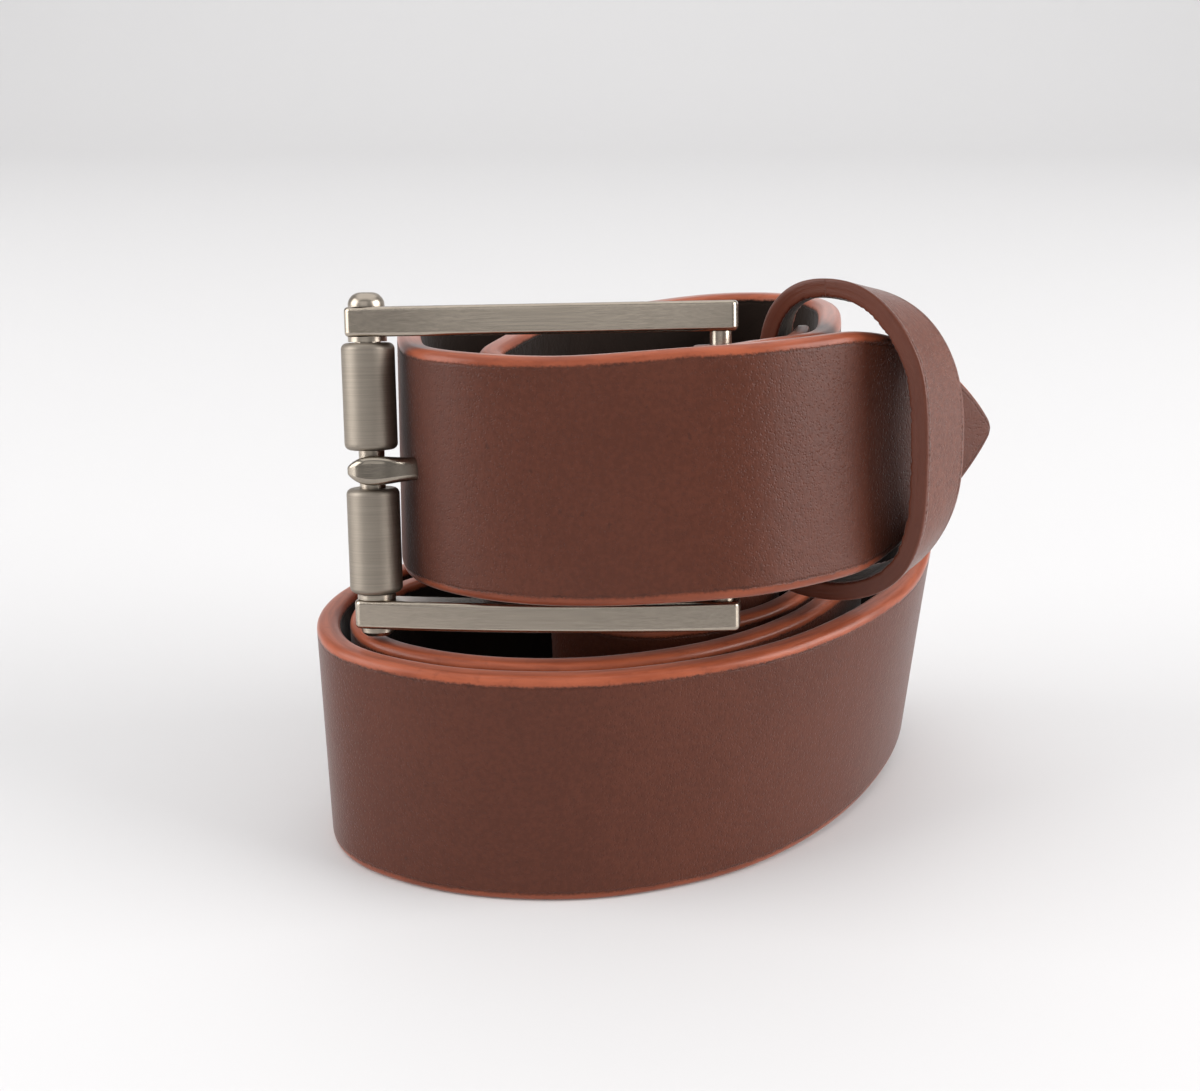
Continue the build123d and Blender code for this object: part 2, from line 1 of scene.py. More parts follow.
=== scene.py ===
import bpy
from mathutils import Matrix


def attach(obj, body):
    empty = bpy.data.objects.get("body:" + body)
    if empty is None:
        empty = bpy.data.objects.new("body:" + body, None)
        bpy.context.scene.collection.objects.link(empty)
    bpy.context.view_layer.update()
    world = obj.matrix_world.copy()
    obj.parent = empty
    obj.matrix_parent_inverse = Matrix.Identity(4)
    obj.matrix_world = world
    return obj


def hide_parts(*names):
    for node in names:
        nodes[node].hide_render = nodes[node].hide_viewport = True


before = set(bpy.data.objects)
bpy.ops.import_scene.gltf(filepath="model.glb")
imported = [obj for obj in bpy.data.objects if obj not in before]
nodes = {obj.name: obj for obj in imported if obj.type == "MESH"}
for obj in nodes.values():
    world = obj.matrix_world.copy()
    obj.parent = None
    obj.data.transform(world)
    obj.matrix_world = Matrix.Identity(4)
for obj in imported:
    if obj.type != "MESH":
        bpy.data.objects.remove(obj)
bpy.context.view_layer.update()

import math

import bpy
import numpy as np
from mathutils import Vector

# ------------------------------------------------------------------ strap path (mm)
PATH = [
    (22.38, -9.78, 61.32, -0.0414, 0.0064, 2.00),
    (21.98, -12.38, 61.32, -0.0533, 0.0098, 2.10),
    (21.34, -15.48, 61.32, -0.0649, 0.0261, 2.20),
    (18.68, -20.58, 61.22, -0.0807, 0.0727, 2.20),
    (14.59, -22.98, 61.12, -0.0644, 0.1368, 2.20),
    (11.88, -23.78, 61.02, -0.0184, 0.1753, 2.20),
    (9.34, -24.19, 60.99, -0.0184, 0.1753, 2.20),
    (7.88, -24.40, 61.00, -0.0184, 0.1753, 2.20),
    (6.71, -25.29, 61.13, -0.0184, 0.1753, 2.20),
    (6.15, -26.64, 61.36, -0.0184, 0.1753, 2.20),
    (6.35, -28.08, 61.61, -0.0184, 0.1753, 2.20),
    (7.26, -29.22, 61.83, -0.0184, 0.1753, 2.20),
    (8.63, -29.77, 61.95, -0.0184, 0.1753, 2.20),
    (12.29, -28.78, 62.12, -0.0184, 0.1753, 2.60),
    (16.48, -25.98, 62.22, -0.0789, 0.1163, 3.10),
    (21.29, -22.68, 62.22, -0.0799, 0.0683, 3.50),
    (24.44, -16.68, 61.72, -0.0662, 0.0224, 3.50),
    (26.19, -8.18, 61.22, -0.0345, 0.0056, 3.50),
    (27.59, 2.62, 60.62, -0.0174, 0.0016, 3.50),
    (28.19, 13.22, 60.02, -0.0000, -0.0000, 3.50),
    (25.78, 23.22, 59.52, -0.0000, -0.0000, 3.50),
    (17.48, 29.52, 58.92, -0.0000, -0.0000, 3.50),
    (6.98, 28.82, 58.32, 0.0000, -0.0000, 3.50),
    (-2.52, 23.02, 58.02, 0.0000, -0.0000, 3.50),
    (-12.52, 14.22, 57.92, 0.0000, -0.0000, 3.50),
    (-19.02, 4.22, 57.82, 0.0000, -0.0000, 3.50),
    (-22.82, -6.28, 57.62, 0.0000, -0.0000, 3.50),
    (-23.62, -12.98, 57.32, 0.0000, 0.0000, 3.50),
    (-19.02, -16.08, 56.92, 0.0000, 0.0000, 3.50),
    (-10.02, -15.78, 55.82, -0.0000, 0.0000, 3.50),
    (-1.02, -14.38, 54.02, -0.0000, 0.0000, 3.50),
    (6.48, -10.58, 51.62, -0.0000, 0.0000, 3.50),
    (12.68, -4.78, 48.82, -0.0000, 0.0000, 3.50),
    (17.09, 2.42, 45.62, -0.0000, 0.0000, 3.50),
    (18.98, 10.22, 42.02, -0.0000, -0.0000, 3.50),
    (15.79, 17.22, 38.42, -0.0000, -0.0000, 3.50),
    (8.98, 20.02, 34.82, 0.0000, -0.0000, 3.50),
    (0.58, 16.82, 31.02, 0.0000, -0.0000, 3.50),
    (-6.82, 10.02, 27.42, 0.0000, -0.0000, 3.50),
    (-11.62, 1.72, 24.02, 0.0000, -0.0000, 3.50),
    (-13.62, -6.78, 20.42, 0.0000, -0.0000, 3.50),
    (-12.02, -14.18, 18.32, 0.0000, 0.0000, 3.50),
    (-6.02, -18.58, 17.44, 0.0000, 0.0000, 3.50),
    (0.98, -19.18, 17.37, -0.0000, 0.0000, 3.50),
    (8.79, -16.78, 17.37, -0.0000, 0.0000, 3.50),
    (16.59, -11.78, 17.37, -0.0000, 0.0000, 3.50),
    (22.79, -4.18, 17.37, -0.0000, 0.0000, 3.50),
    (26.78, 4.82, 17.37, -0.0000, 0.0000, 3.50),
    (28.19, 14.22, 17.37, -0.0000, -0.0000, 3.50),
    (24.59, 22.22, 17.37, -0.0000, -0.0000, 3.50),
    (15.98, 26.02, 17.37, -0.0000, -0.0000, 3.50),
    (4.98, 25.42, 17.37, 0.0000, -0.0000, 3.50),
    (-6.52, 21.82, 17.37, 0.0000, -0.0000, 3.50),
    (-17.52, 16.42, 17.37, 0.0000, -0.0000, 3.50),
    (-28.52, 9.42, 17.37, 0.0000, -0.0000, 3.50),
    (-38.41, 0.82, 17.37, 0.0000, -0.0000, 3.50),
    (-43.72, -8.98, 17.37, 0.0000, -0.0000, 3.50),
    (-43.52, -18.18, 17.37, 0.0000, 0.0000, 3.50),
    (-40.22, -24.38, 17.37, 0.0000, 0.0000, 3.50),
    (-34.31, -28.88, 17.37, 0.0000, 0.0000, 3.50),
    (-27.32, -31.78, 17.37, 0.0000, 0.0000, 3.50),
    (-18.62, -33.28, 17.37, 0.0000, 0.0000, 3.50),
    (-8.92, -32.78, 17.37, -0.0000, 0.0000, 3.50),
    (-0.02, -30.28, 17.37, -0.0000, 0.0000, 3.50),
    (8.18, -26.38, 17.37, -0.0000, 0.0000, 3.50),
    (16.38, -20.18, 17.37, -0.0000, 0.0000, 3.50),
    (23.98, -11.58, 17.37, -0.0000, 0.0000, 3.50),
    (29.88, -0.98, 17.37, -0.0000, 0.0000, 3.50),
    (33.88, 10.82, 17.37, -0.0000, 0.0000, 3.50),
    (33.38, 21.62, 17.37, -0.0000, -0.0000, 3.50),
    (26.19, 29.02, 17.37, -0.0000, -0.0000, 3.50),
    (14.79, 31.22, 17.37, -0.0000, -0.0000, 3.50),
    (1.98, 29.82, 17.37, 0.0000, -0.0000, 3.50),
    (-11.02, 26.02, 17.37, 0.0000, -0.0000, 3.50),
    (-23.52, 20.62, 17.37, 0.0000, -0.0000, 3.50),
    (-35.02, 13.22, 17.37, 0.0000, -0.0000, 3.50),
    (-43.81, 3.22, 17.37, -0.0104, 0.0064, 3.50),
    (-48.31, -8.38, 17.37, -0.0240, 0.0045, 3.50),
    (-48.02, -19.28, 17.37, -0.0238, -0.0054, 3.50),
    (-44.02, -27.48, 17.37, -0.0189, -0.0155, 3.50),
    (-36.81, -32.98, 17.37, -0.0105, -0.0181, 3.50),
    (-28.62, -36.38, 17.37, -0.0047, -0.0168, 3.50),
    (-19.02, -37.98, 17.37, -0.0008, -0.0139, 3.50),
    (-8.02, -37.58, 17.37, 0.0020, -0.0138, 3.50),
    (1.48, -35.08, 17.42, 0.0068, -0.0198, 3.50),
    (10.79, -31.08, 17.52, 0.0170, -0.0305, 3.50),
    (20.38, -24.58, 17.82, 0.0392, -0.0470, 3.50),
    (29.38, -15.58, 18.42, 0.0674, -0.0558, 3.50),
    (37.59, -3.78, 19.42, 0.0997, -0.0551, 3.50),
    (42.98, 9.02, 21.22, 0.0929, -0.0253, 3.50),
    (44.38, 21.22, 24.82, 0.0696, 0.0068, 3.50),
    (40.78, 31.62, 29.62, 0.0262, 0.0231, 3.50),
    (30.59, 36.92, 34.92, -0.0000, -0.0000, 3.50),
    (16.98, 37.62, 40.42, 0.0000, -0.0000, 3.50),
    (3.98, 36.22, 45.62, 0.0000, -0.0000, 3.50),
    (-8.52, 32.92, 50.02, 0.0000, -0.0000, 3.50),
    (-20.91, 27.72, 53.92, 0.0000, -0.0000, 3.50),
    (-31.62, 20.02, 56.62, 0.0000, -0.0000, 3.50),
    (-36.62, 9.02, 58.22, 0.0000, -0.0000, 3.50),
    (-37.12, -1.58, 59.12, 0.0087, 0.0002, 3.50),
    (-36.16, -10.48, 59.52, 0.0172, 0.0028, 3.50),
    (-34.41, -18.48, 59.72, 0.0244, 0.0094, 3.50),
    (-30.71, -24.58, 60.12, 0.0249, 0.0245, 3.50),
    (-23.62, -29.48, 60.42, 0.0290, 0.0636, 3.50),
    (-14.02, -32.18, 60.62, 0.0225, 0.1027, 3.50),
    (-4.02, -33.78, 61.42, 0.0147, 0.1398, 3.50),
    (4.98, -34.18, 62.22, -0.0063, 0.1672, 3.50),
    (11.98, -33.18, 62.52, -0.0448, 0.1519, 3.50),
    (18.88, -30.08, 62.62, -0.0663, 0.1137, 3.50),
    (26.73, -24.58, 62.52, -0.0653, 0.0823, 3.50),
    (34.38, -17.78, 62.42, -0.0382, 0.0478, 3.50),
    (42.23, -12.18, 62.32, -0.0244, 0.0362, 3.50),
    (49.94, -7.28, 62.32, -0.0187, 0.0295, 3.50),
]
FOLD_INDEX = 6
BAR_CENTRE = np.array((8.985, -26.978, 61.470))
BUCKLE_X = np.array((0.992052, -0.119546, 0.039254))
BUCKLE_Y = np.array((-0.018165, 0.172634, 0.984819))
BUCKLE_Z = np.array((-0.124508, -0.977705, 0.169090))
STRAP_WIDTH, FREE_END_WIDTH, TIP_LENGTH, TIP_END_WIDTH = 35.0, 34.5, 30.0, 0.9
PRONG_HOLE_POINT = (-32.780, -21.830, 59.88)
STUD_POINT = (24.985, -12.958, 61.5)
KEEPER_CENTRE = np.array((26.385, -20.878, 0.0))
KEEPER_ANGLE, KEEPER_WIDTH, KEEPER_THICKNESS = 55.0, 10.5, 2.6
KEEPER_NEAR = [
    (-3.3, 83.9), (1.1, 83.4), (5.8, 80.0), (9.2, 74.6), (10.5, 67.5), (10.9, 59.5),
    (10.5, 51.9), (7.9, 45.9), (2.6, 42.6), (-3.2, 41.6), (-8.4, 42.4), (-11.1, 46.5),
    (-11.6, 54.0), (-11.8, 62.0), (-11.7, 70.0), (-11.3, 75.6), (-10.2, 79.8), (-7.4, 82.8),
]
KEEPER_FAR = [
    (-5.2, 81.6), (-0.3, 81.2), (5.0, 79.3), (9.0, 75.1), (11.1, 69.6), (11.8, 62.5),
    (11.6, 56.4), (8.9, 48.9), (3.8, 43.5), (-2.6, 41.5), (-9.4, 41.6), (-13.4, 45.5),
    (-14.0, 53.5), (-14.0, 61.5), (-14.1, 69.5), (-14.0, 75.5), (-13.2, 79.6), (-9.9, 81.7),
]


def natural_spline(knots, values):
    n = len(knots)
    h = np.diff(knots)
    upper, rhs = np.zeros(n), np.zeros(n)
    for i in range(1, n - 1):
        slope = (values[i + 1] - values[i]) / h[i] - (values[i] - values[i - 1]) / h[i - 1]
        pivot = 2.0 * (h[i - 1] + h[i]) - h[i - 1] * upper[i - 1]
        upper[i] = h[i] / pivot
        rhs[i] = (6.0 * slope - h[i - 1] * rhs[i - 1]) / pivot
    second = np.zeros(n)
    for i in range(n - 2, 0, -1):
        second[i] = rhs[i] - upper[i] * second[i + 1]

    def value(t):
        t = np.asarray(t, float)
        j = np.clip(np.searchsorted(knots, t, side="left") - 1, 0, n - 2)
        u = t - knots[j]
        v = h[j] - u
        return (
            second[j] * v**3 / (6 * h[j])
            + second[j + 1] * u**3 / (6 * h[j])
            + (values[j] / h[j] - second[j] * h[j] / 6) * v
            + (values[j + 1] / h[j] - second[j + 1] * h[j] / 6) * u
        )

    return value


rows = np.array(PATH)
knots = np.concatenate([[0.0], np.cumsum(np.linalg.norm(np.diff(rows[:, :3], axis=0), axis=1))])
curves = [natural_spline(knots, rows[:, k]) for k in range(6)]
fine = np.linspace(0.0, knots[-1], 8001)
fine_points = np.stack([c(fine) for c in curves[:3]], axis=1)
travelled = np.concatenate([[0.0], np.cumsum(np.linalg.norm(np.diff(fine_points, axis=0), axis=1))])
LENGTH = float(travelled[-1])


def unit(v):
    return v / np.linalg.norm(v, axis=-1, keepdims=True)


def strap_frame(length):
    """Centre, tangent, width direction (up) and outward direction at distances along the strap."""
    t = np.interp(np.asarray(length, float), travelled, fine)
    e = 0.05
    here = np.stack([c(t) for c in curves[:3]], axis=-1)
    ahead = np.stack([c(np.minimum(knots[-1], t + e)) for c in curves[:3]], axis=-1)
    behind = np.stack([c(np.maximum(0.0, t - e)) for c in curves[:3]], axis=-1)
    tangent = unit(ahead - behind)
    lean = np.stack([curves[3](t), curves[4](t), np.ones_like(t)], axis=-1)
    width = unit(lean - tangent * np.sum(lean * tangent, axis=-1, keepdims=True))
    return here, tangent, width, np.cross(tangent, width), curves[5](t)


def strap_width(length):
    left = LENGTH - length
    if left >= TIP_LENGTH:
        blend = min(1.0, max(0.0, (left - 130.0) / 60.0))
        trimmed = min(1.0, max(0.0, 1.0 - (length - 50.0) / 60.0))
        return FREE_END_WIDTH + (STRAP_WIDTH - FREE_END_WIDTH) * blend - 1.2 * trimmed
    return TIP_END_WIDTH + (FREE_END_WIDTH - TIP_END_WIDTH) * math.sin(max(0.0, left / TIP_LENGTH) ** 0.8 * math.pi / 2)


def length_near(point, low=0.0, high=None):
    high = LENGTH if high is None else high
    ok = (travelled >= low) & (travelled <= high)
    d = np.linalg.norm(fine_points - np.array(point), axis=1)
    d[~ok] = 1e9
    return float(travelled[int(np.argmin(d))])


# ------------------------------------------------------------------ mesh helpers
def new_object(name, verts, faces, materials, smooth=True, sharp=0.9):
    mesh = bpy.data.meshes.new(name)
    mesh.from_pydata([tuple(v) for v in verts], [], faces)
    mesh.validate()
    for m in materials:
        mesh.materials.append(m)
    mesh.polygons.foreach_set("use_smooth", [smooth] * len(mesh.polygons))
    if smooth:
        mesh.set_sharp_from_angle(angle=sharp)
    obj = bpy.data.objects.new(name, mesh)
    bpy.context.scene.collection.objects.link(obj)
    return obj


def set_uv(mesh, name, values):
    """A UV layer from one pair of numbers for each vertex."""
    layer = mesh.uv_layers.new(name=name)
    index = np.empty(len(mesh.loops), int)
    mesh.loops.foreach_get("vertex_index", index)
    layer.data.foreach_set("uv", np.asarray(values, float)[index].ravel())


def section(width, thickness, radius, inset=0.0, across=26, corner=5, through=2):
    """Rounded rectangle: (place across, place through) round the strap."""
    w, t = width / 2 - inset, thickness / 2 - inset
    w, t = max(w, 0.06), max(t, 0.06)
    r = max(0.03, min(radius - inset * 0.6, t * 0.98, w * 0.98))
    out = []

    def arc(cx, cy, start):
        for k in range(corner + 1):
            a = math.radians(start - 90 * k / corner)
            out.append((cx + r * math.cos(a), cy + r * math.sin(a)))

    def run(x0, y0, x1, y1, n):
        for k in range(1, n):
            f = k / n
            f = 0.5 - 0.5 * math.cos(math.pi * f) if n > 6 else f
            out.append((x0 + (x1 - x0) * f, y0 + (y1 - y0) * f))

    arc(w - r, t - r, 90)                       # upper corner, grain side
    run(w, t - r, w, -t + r, through)
    arc(w - r, -t + r, 0)
    run(w - r, -t, -w + r, -t, across)
    arc(-w + r, -t + r, -90)
    run(-w, -t + r, -w, t - r, through)
    arc(-w + r, t - r, 180)
    run(-w + r, t, w - r, t, across)
    return out


def apply_boolean(obj, cutter):
    mod = obj.modifiers.new("cut", "BOOLEAN")
    mod.object = cutter
    mod.operation = "DIFFERENCE"
    mod.solver = "EXACT"
    bpy.context.view_layer.update()
    dg = bpy.context.evaluated_depsgraph_get()
    mesh = bpy.data.meshes.new_from_object(obj.evaluated_get(dg))
    obj.modifiers.clear()
    obj.data = mesh
    bpy.data.objects.remove(cutter)
    mesh.polygons.foreach_set("use_smooth", [True] * len(mesh.polygons))
    mesh.set_sharp_from_angle(angle=0.9)


# ------------------------------------------------------------------ materials
class Graph:
    """A small helper for node materials."""

    def __init__(self, name):
        self.mat = bpy.data.materials.new(name)
        self.mat.use_nodes = True
        self.tree = self.mat.node_tree
        self.tree.nodes.clear()
        self.out = self.tree.nodes.new("ShaderNodeOutputMaterial")
        self.bsdf = self.tree.nodes.new("ShaderNodeBsdfPrincipled")
        self.tree.links.new(self.bsdf.outputs[0], self.out.inputs[0])
        self.coord = self.tree.nodes.new("ShaderNodeTexCoord").outputs["Object"]

    def put(self, socket, value):
        if isinstance(value, (int, float)):
            socket.default_value = value
        elif isinstance(value, tuple):
            socket.default_value = value if len(value) == len(socket.default_value) else value + (1.0,)
        else:
            self.tree.links.new(value, socket)

    def math(self, op, a, b=0.0, c=0.0, clamp=False):
        n = self.tree.nodes.new("ShaderNodeMath")
        n.operation = op
        n.use_clamp = clamp
        for s, v in zip(n.inputs, (a, b, c)):
            self.put(s, v)
        return n.outputs[0]

    def vmath(self, op, a, b=(0.0, 0.0, 0.0)):
        n = self.tree.nodes.new("ShaderNodeVectorMath")
        n.operation = op
        self.put(n.inputs[0], a)
        self.put(n.inputs[1], b)
        return n.outputs["Value"] if op in ("DOT_PRODUCT", "LENGTH") else n.outputs[0]

    def step(self, value, low, high):
        n = self.tree.nodes.new("ShaderNodeMapRange")
        n.interpolation_type = "SMOOTHSTEP"
        self.put(n.inputs[0], value)
        self.put(n.inputs[1], low)
        self.put(n.inputs[2], high)
        return n.outputs[0]

    def mix(self, fac, a, b):
        n = self.tree.nodes.new("ShaderNodeMix")
        n.data_type = "RGBA"
        self.put(n.inputs[0], fac)
        self.put(n.inputs[6], a)
        self.put(n.inputs[7], b)
        return n.outputs[2]

    def fmix(self, fac, a, b):
        n = self.tree.nodes.new("ShaderNodeMix")
        n.data_type = "FLOAT"
        self.put(n.inputs[0], fac)
        self.put(n.inputs[2], a)
        self.put(n.inputs[3], b)
        return n.outputs[0]

    def noise(self, scale, detail=3.0, rough=0.55, vector=None, distortion=0.0):
        n = self.tree.nodes.new("ShaderNodeTexNoise")
        self.put(n.inputs["Vector"], self.coord if vector is None else vector)
        n.inputs["Scale"].default_value = scale
        n.inputs["Detail"].default_value = detail
        n.inputs["Roughness"].default_value = rough
        n.inputs["Distortion"].default_value = distortion
        return n.outputs[0]

    def voronoi(self, scale, feature="F1", vector=None):
        n = self.tree.nodes.new("ShaderNodeTexVoronoi")
        n.feature = feature
        self.put(n.inputs["Vector"], self.coord if vector is None else vector)
        n.inputs["Scale"].default_value = scale
        return n.outputs["Distance"]

    def uv(self, name):
        n = self.tree.nodes.new("ShaderNodeUVMap")
        n.uv_map = name
        s = self.tree.nodes.new("ShaderNodeSeparateXYZ")
        self.tree.links.new(n.outputs[0], s.inputs[0])
        return s.outputs[0], s.outputs[1]

    def combine(self, x, y, z):
        n = self.tree.nodes.new("ShaderNodeCombineXYZ")
        for s, v in zip(n.inputs, (x, y, z)):
            self.put(s, v)
        return n.outputs[0]

    def bump(self, height, strength, distance, normal=None):
        n = self.tree.nodes.new("ShaderNodeBump")
        n.inputs["Strength"].default_value = strength
        n.inputs["Distance"].default_value = distance
        self.put(n.inputs["Height"], height)
        if normal is not None:
            self.put(n.inputs["Normal"], normal)
        return n.outputs[0]

    def set(self, **kw):
        for k, v in kw.items():
            self.put(self.bsdf.inputs[k.replace("_", " ")], v)


def leather(name, face, face_dark, paint, paint_side, flesh, paint_reach=1.3, rough=0.42, grain=0.9, thin_after=None, dull_shaded_bend=None):
    """Smooth finished leather with painted edges. UV 'section' holds the place
    through the thickness (-1 flesh to 1 grain) and the distance from the edge in cm;
    UV 'strap' the distance along and across."""
    g = Graph(name)
    through, edge = g.uv("section")
    along, across = g.uv("strap")
    edge_mm = g.math("MULTIPLY", edge, 10.0)
    wobble = g.math("ADD", g.math("MULTIPLY", g.math("SUBTRACT", g.noise(300.0, 3.0), 0.5), 0.5), g.math("MULTIPLY", g.math("SUBTRACT", g.noise(2400.0, 2.0), 0.5), 0.55))
    e = g.math("ADD", edge_mm, wobble)
    is_grain = g.step(through, -0.2, 0.2)
    reach = g.fmix(is_grain, 1.0, paint_reach)
    if thin_after is not None:
        reach = g.fmix(g.step(along, thin_after, thin_after + 0.006), reach, 0.5)
    painted = g.math("SUBTRACT", 1.0, g.step(e, g.math("SUBTRACT", reach, 0.34), g.math("ADD", reach, 0.22)))
    # the grain face: soft mottling, fine pores, a few faint lines from bending
    mottle = g.noise(55.0, 4.0, 0.6)
    fine_mottle = g.noise(1300.0, 3.0, 0.6)
    tone = g.math("ADD", g.math("MULTIPLY", mottle, 0.35), g.math("MULTIPLY", fine_mottle, 0.65))
    col = g.mix(g.step(tone, 0.38, 0.64), face_dark, face)
    pores = g.voronoi(2300.0)
    pits = g.math("SUBTRACT", 1.0, g.step(pores, 0.05, 0.32))
    col = g.mix(g.math("MULTIPLY", pits, 0.16), col, tuple(c * 0.5 for c in face_dark))
    specks = g.step(g.noise(620.0, 2.0, 0.5), 0.70, 0.76)
    col = g.mix(g.math("MULTIPLY", specks, 0.35), col, tuple(c * 0.4 for c in face_dark))
    # the bend behind the rollers: rubbed dull (rougher), and darkened in colour as painted shade for the recess behind
    # the rollers
    bend_shade_and_dull = None
    if dull_shaded_bend is not None:
        bend_shade_and_dull = g.math("MULTIPLY", g.step(along, dull_shaded_bend[0], dull_shaded_bend[0] + 0.016), g.math("SUBTRACT", 1.0, g.step(along, dull_shaded_bend[1] - 0.012, dull_shaded_bend[1])))
        bend_shade_and_dull = g.math("MULTIPLY", bend_shade_and_dull, is_grain)
        # painted shade: the bend's colour is darkened for the shadow behind the rollers
        col = g.mix(g.math("MULTIPLY", bend_shade_and_dull, 0.45), col, tuple(c * 0.35 for c in face_dark))
    # creased line beside the paint
    crease = g.math("MULTIPLY", g.step(e, paint_reach - 0.05, paint_reach + 0.12), g.math("SUBTRACT", 1.0, g.step(e, paint_reach + 0.2, paint_reach + 0.5)))
    crease_tone = g.math("MULTIPLY", crease, g.math("MULTIPLY", g.step(g.noise(330.0, 3.0), 0.42, 0.62), 0.5))
    col = g.mix(crease_tone, col, tuple(c * 0.35 for c in face_dark))
    # the flesh side: dark, napped, with paler scuffs
    nap = g.noise(260.0, 5.0, 0.7)
    pale = g.math("MULTIPLY", g.step(g.noise(95.0, 3.0), 0.62, 0.75), 0.35)
    inner = g.mix(nap, tuple(c * 0.6 for c in flesh), flesh)
    inner = g.mix(pale, inner, tuple(min(1.0, c * 3.2 + 0.02) for c in flesh))
    col = g.mix(is_grain, inner, col)
    # the edge paint: a little uneven, worn paler along the crown
    streak = g.noise(1.0, 4.0, 0.6, vector=g.combine(g.math("MULTIPLY", along, 90.0), g.math("MULTIPLY", through, 1.8), 0.0))
    paint_tone = g.mix(g.step(streak, 0.3, 0.7), paint_side, paint)
    paint_tone = g.mix(g.math("MULTIPLY", g.step(g.noise(700.0, 3.0), 0.56, 0.72), 0.25), paint_tone, tuple(c * 0.55 for c in paint_side))
    # the lower edge paint is darkened as painted shade, for the lower edges in shadow near the table
    low = g.math("SUBTRACT", 1.0, g.step(across, -0.002, 0.002))
    paint_tone = g.mix(g.math("MULTIPLY", low, 0.42), paint_tone, tuple(c * 0.4 for c in paint_side))
    col = g.mix(painted, col, paint_tone)
    # relief
    # fine pebbling, drawn out across the strap where it has been bent
    wrinkle = g.noise(1.0, 3.0, 0.55, vector=g.combine(g.math("MULTIPLY", along, 2600.0), g.math("MULTIPLY", across, 900.0), 0.0))
    grain_height = g.math("ADD", g.math("MULTIPLY", g.noise(2200.0, 4.0, 0.6), 0.45), g.math("ADD", g.math("MULTIPLY", g.step(pores, 0.0, 0.45), 0.55), g.math("MULTIPLY", wrinkle, 0.5)))
    soft = g.noise(240.0, 3.0, 0.5)
    height = g.math("ADD", grain_height, g.math("MULTIPLY", soft, 0.9))
    height = g.fmix(is_grain, g.math("MULTIPLY", nap, 3.0), height)
    height = g.fmix(painted, height, g.math("ADD", g.math("MULTIPLY", streak, 0.6), 0.9))
    height = g.math("SUBTRACT", height, g.math("MULTIPLY", crease, 0.7))
    normal = g.bump(height, grain, 0.00009)
    roughness = g.fmix(is_grain, 0.95, g.math("ADD", rough - 0.06, g.math("MULTIPLY", mottle, 0.12)))
    if bend_shade_and_dull is not None:
        roughness = g.fmix(bend_shade_and_dull, roughness, 0.9)
    roughness = g.fmix(painted, roughness, 0.3)
    g.set(Base_Color=col, Roughness=roughness, Normal=normal, Specular_IOR_Level=0.27, Sheen_Weight=0.22, Sheen_Roughness=0.35)
    return g.mat


def cut_leather():
    g = Graph("leather_cut")
    n = g.noise(1200.0, 4.0, 0.7)
    g.set(Base_Color=g.mix(n, (0.02, 0.010, 0.008), (0.075, 0.035, 0.024)), Roughness=0.9, Normal=g.bump(n, 0.6, 0.0001))
    return g.mat


def nickel(name, along_dir, around=None, base=(0.42, 0.364, 0.300), rough=0.25):
    """Brushed nickel. The brushing runs along along_dir, or, when `around` is given, in rings round along_dir."""
    g = Graph(name)
    co = g.coord
    ax = tuple(float(v) for v in along_dir)
    u = g.vmath("DOT_PRODUCT", co, ax)
    # two directions square to the brushing
    a = np.array(ax)
    p = unit(np.cross(a, np.array((0.31, 0.2, 0.93)) if abs(a[2]) < 0.8 else np.array((0.9, 0.3, 0.1))))
    q = np.cross(a, p)
    v = g.vmath("DOT_PRODUCT", co, tuple(map(float, p)))
    w = g.vmath("DOT_PRODUCT", co, tuple(map(float, q)))
    if around is None:
        vec = g.combine(g.math("MULTIPLY", u, 90.0), g.math("MULTIPLY", v, 9000.0), g.math("MULTIPLY", w, 9000.0))
        vec2 = g.combine(g.math("MULTIPLY", u, 60.0), g.math("MULTIPLY", v, 3400.0), g.math("MULTIPLY", w, 3400.0))
    else:
        # rings: fine change along the axis, slow change round it
        vec = g.combine(g.math("MULTIPLY", u, 9000.0), g.math("MULTIPLY", v, 90.0), g.math("MULTIPLY", w, 90.0))
        vec2 = g.combine(g.math("MULTIPLY", u, 3400.0), g.math("MULTIPLY", v, 60.0), g.math("MULTIPLY", w, 60.0))
    fine_lines = g.noise(1.0, 3.0, 0.6, vector=vec)
    lines = g.noise(1.0, 3.0, 0.6, vector=vec2)
    mix = g.math("ADD", g.math("MULTIPLY", fine_lines, 0.55), g.math("MULTIPLY", lines, 0.45))
    cloud = g.noise(130.0, 3.0, 0.5)
    col = g.mix(g.step(mix, 0.3, 0.7), tuple(c * 0.84 for c in base), tuple(min(1.0, c * 1.10) for c in base))
    col = g.mix(g.math("MULTIPLY", g.step(cloud, 0.45, 0.75), 0.2), col, tuple(c * 0.88 for c in base))
    r = g.math("ADD", rough, g.math("MULTIPLY", g.math("SUBTRACT", mix, 0.5), 0.10))
    g.set(Base_Color=col, Metallic=1.0, Roughness=r, Normal=g.bump(mix, 0.09, 0.00001))
    return g.mat


strap_mat = leather(
    "strap_leather",
    face=(0.104, 0.0265, 0.0125), face_dark=(0.084, 0.0205, 0.0092),
    paint=(0.41, 0.104, 0.048), paint_side=(0.255, 0.058, 0.025), flesh=(0.019, 0.0092, 0.0052),
    # the second range is the bend behind the rollers: rougher, with painted shade in its colour
    thin_after=LENGTH * 0.001 - 0.026, dull_shaded_bend=(LENGTH * 0.001 - 0.132, LENGTH * 0.001 - 0.086),
)
keeper_mat = leather(
    "keeper_leather",
    face=(0.155, 0.053, 0.033), face_dark=(0.112, 0.036, 0.022),
    paint=(0.175, 0.052, 0.030), paint_side=(0.150, 0.042, 0.023), flesh=(0.045, 0.030, 0.019),
    paint_reach=0.5, grain=1.3,
)
cut_mat = cut_leather()

